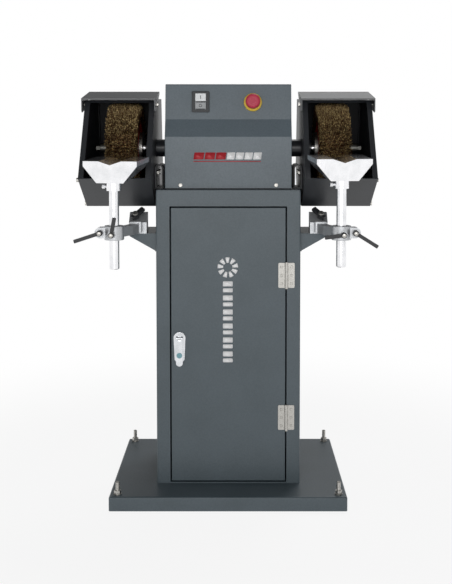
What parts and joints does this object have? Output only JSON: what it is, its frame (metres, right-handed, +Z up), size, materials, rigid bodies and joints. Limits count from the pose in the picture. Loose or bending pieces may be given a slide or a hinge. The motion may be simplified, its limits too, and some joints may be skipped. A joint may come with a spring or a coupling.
{
  "type": "pedestal brush machine",
  "caption": "Double-ended pedestal brush machine: motor head with wide wire drum brushes under guards, adjustable work rests, and a sheet-metal cabinet with a door on a base pan.",
  "frame": {"origin": "on the floor, under the middle of the whole machine", "axes": "+Z up, -Y towards the operator, X along the spindle"},
  "size_m": [0.6406, 0.4244, 0.896],
  "materials": {
    "cabinet_paint": "satin powder coat, slate grey",
    "head_paint": "satin powder coat, slate grey",
    "guard_paint": "dark textured powder coat",
    "visor_paint": "dark satin powder coat",
    "machined_steel": "bright machined",
    "cast_aluminium": "bead-blasted casting",
    "zinc_steel": "zinc plated",
    "dull_steel": "blackened",
    "satin_chrome": "satin chrome",
    "spindle_black": "dark satin enamel",
    "motor_enamel": "enamelled casting",
    "electrical_steel": "laminated",
    "bearing_steel": "ground",
    "brush_wire": "crimped brass-coated wire",
    "core_red": "moulded red plastic",
    "lever_black": "moulded glass-filled nylon",
    "black_plastic": "moulded",
    "white_plastic": "glossy",
    "grey_plastic": "glossy",
    "yellow_plastic": "glossy",
    "red_plastic": "glossy",
    "teal_plastic": "glossy",
    "black_rubber": "moulded"
  },
  "bodies": {
    "stand": {"base_pan": "cabinet_paint", "foot_pads": "black_rubber", "foot_studs": "zinc_steel", "cabinet_shell": "cabinet_paint", "cabinet_rear_panel": "cabinet_paint", "hinge_frame_leaves": "zinc_steel", "hinge_pins": "zinc_steel", "machine_screws": "zinc_steel", "head_cover": "head_paint", "head_rear_panel": "head_paint", "head_gasket": "black_rubber", "switch_bezel": "black_plastic", "estop_collar": "yellow_plastic", "cable_gland": "black_plastic", "motor_housing": "motor_enamel", "motor_stator": "electrical_steel", "motor_end_shields": "spindle_black", "bearing_outer_rings": "bearing_steel", "guard_shell_left": "guard_paint", "guard_shell_right": "guard_paint", "guard_side_covers": "guard_paint", "guard_thumb_screws": "zinc_steel", "guard_brackets": "guard_paint", "guard_bolts": "zinc_steel", "visor_bolts": "zinc_steel", "rest_brackets": "cabinet_paint", "bar_clamps": "cast_aluminium"},
    "door": {"door_panel": "cabinet_paint", "hinge_door_leaves": "zinc_steel", "hinge_door_screws": "zinc_steel", "lock_body": "satin_chrome"},
    "lock_cam": {"lock_cam": "satin_chrome"},
    "lock_handle": {"lock_handle": "satin_chrome", "lock_button": "teal_plastic"},
    "spindle": {"spindle_shaft": "machined_steel", "motor_rotor": "electrical_steel", "bearing_inner_rings": "bearing_steel", "brush_cores": "core_red", "brush_flanges": "zinc_steel", "spindle_end_screws": "dull_steel", "brush_fill_left": "brush_wire", "brush_fill_right": "brush_wire"},
    "start_button": {"start_button": "white_plastic"},
    "stop_button": {"stop_button": "grey_plastic"},
    "estop_stem": {"estop_stem": "black_plastic"},
    "estop_head": {"estop_head": "red_plastic"},
    "visor_left": {"visor_left": "visor_paint"},
    "arm_left": {"arm_left": "cast_aluminium"},
    "post_left": {"post_left": "machined_steel"},
    "rest_left": {"rest_left": "machined_steel"},
    "ear_lever_left": {"ear_lever_left": "lever_black"},
    "front_lever_left": {"front_lever_left": "lever_black"},
    "reach_lever_left": {"reach_lever_left": "lever_black"},
    "visor_right": {"visor_right": "visor_paint"},
    "arm_right": {"arm_right": "cast_aluminium"},
    "post_right": {"post_right": "machined_steel"},
    "rest_right": {"rest_right": "machined_steel"},
    "ear_lever_right": {"ear_lever_right": "lever_black"},
    "front_lever_right": {"front_lever_right": "lever_black"},
    "reach_lever_right": {"reach_lever_right": "lever_black"}
  },
  "joints": [
    {"name": "spindle_spin", "type": "hinge", "parent": "stand", "child": "spindle", "pos_m": [0, 0.01419, 0.757], "axis": [1, 0, 0], "continuous": true},
    {"name": "door_hinge", "type": "hinge", "parent": "stand", "child": "door", "pos_m": [0.125, -0.08261, 0.33], "axis": [0, 0, 1], "range_deg": [0, 105]},
    {"name": "lock_turn", "type": "hinge", "parent": "door", "child": "lock_cam", "pos_m": [-0.105, -0.07881, 0.35], "axis": [0, 1, 0], "range_deg": [0, 90]},
    {"name": "lock_handle_lift", "type": "hinge", "parent": "lock_cam", "child": "lock_handle", "pos_m": [-0.105, -0.08721, 0.35], "axis": [-1, 0, 0], "range_deg": [0, 30]},
    {"name": "start_press", "type": "slide", "parent": "stand", "child": "start_button", "axis": [0, 0.9898, -0.1425], "range_m": [0, 0.0025], "stiffness_N_per_m": 400},
    {"name": "stop_press", "type": "slide", "parent": "stand", "child": "stop_button", "axis": [0, 0.9898, -0.1425], "range_m": [0, 0.0025], "stiffness_N_per_m": 400},
    {"name": "estop_press", "type": "slide", "parent": "stand", "child": "estop_stem", "axis": [0, 0.9898, -0.1425], "range_m": [0, 0.004], "stiffness_N_per_m": 800},
    {"name": "estop_twist", "type": "hinge", "parent": "estop_stem", "child": "estop_head", "pos_m": [0.053, -0.04257, 0.856], "axis": [0, -0.9898, 0.1425], "range_deg": [0, 30]},
    {"name": "visor_left_tilt", "type": "hinge", "parent": "stand", "child": "visor_left", "pos_m": [-0.1605, -0.02581, 0.852], "axis": [1, 0, 0], "range_deg": [-9, 42]},
    {"name": "reach_left", "type": "slide", "parent": "stand", "child": "arm_left", "axis": [0, -1, 0], "range_m": [0, 0.035]},
    {"name": "height_left", "type": "slide", "parent": "arm_left", "child": "post_left", "axis": [0, 0, 1], "range_m": [0, 0.05]},
    {"name": "rest_left_turn", "type": "hinge", "parent": "post_left", "child": "rest_left", "pos_m": [-0.231, -0.17581, 0.689], "axis": [0, 0, 1], "range_deg": [-15, 15]},
    {"name": "ear_lever_left_turn", "type": "hinge", "parent": "arm_left", "child": "ear_lever_left", "pos_m": [-0.2585, -0.17581, 0.588], "axis": [0, 1, 0], "range_deg": [-45, 45]},
    {"name": "front_lever_left_turn", "type": "hinge", "parent": "arm_left", "child": "front_lever_left", "pos_m": [-0.2335, -0.19581, 0.585], "axis": [0, 1, 0], "range_deg": [-40, 40]},
    {"name": "reach_lever_left_turn", "type": "hinge", "parent": "stand", "child": "reach_lever_left", "pos_m": [-0.2, -0.05781, 0.608], "axis": [0, -0.7071, 0.7071], "range_deg": [-35, 35]},
    {"name": "visor_right_tilt", "type": "hinge", "parent": "stand", "child": "visor_right", "pos_m": [0.1605, -0.02581, 0.852], "axis": [1, 0, 0], "range_deg": [-9, 42]},
    {"name": "reach_right", "type": "slide", "parent": "stand", "child": "arm_right", "axis": [0, -1, 0], "range_m": [0, 0.035]},
    {"name": "height_right", "type": "slide", "parent": "arm_right", "child": "post_right", "axis": [0, 0, 1], "range_m": [0, 0.05]},
    {"name": "rest_right_turn", "type": "hinge", "parent": "post_right", "child": "rest_right", "pos_m": [0.231, -0.17581, 0.689], "axis": [0, 0, 1], "range_deg": [-15, 15]},
    {"name": "ear_lever_right_turn", "type": "hinge", "parent": "arm_right", "child": "ear_lever_right", "pos_m": [0.2585, -0.17581, 0.588], "axis": [0, 1, 0], "range_deg": [-45, 45]},
    {"name": "front_lever_right_turn", "type": "hinge", "parent": "arm_right", "child": "front_lever_right", "pos_m": [0.2335, -0.19581, 0.585], "axis": [0, 1, 0], "range_deg": [-40, 40]},
    {"name": "reach_lever_right_turn", "type": "hinge", "parent": "stand", "child": "reach_lever_right", "pos_m": [0.2, -0.05781, 0.608], "axis": [0, -0.7071, 0.7071], "range_deg": [-35, 35]}
  ]
}
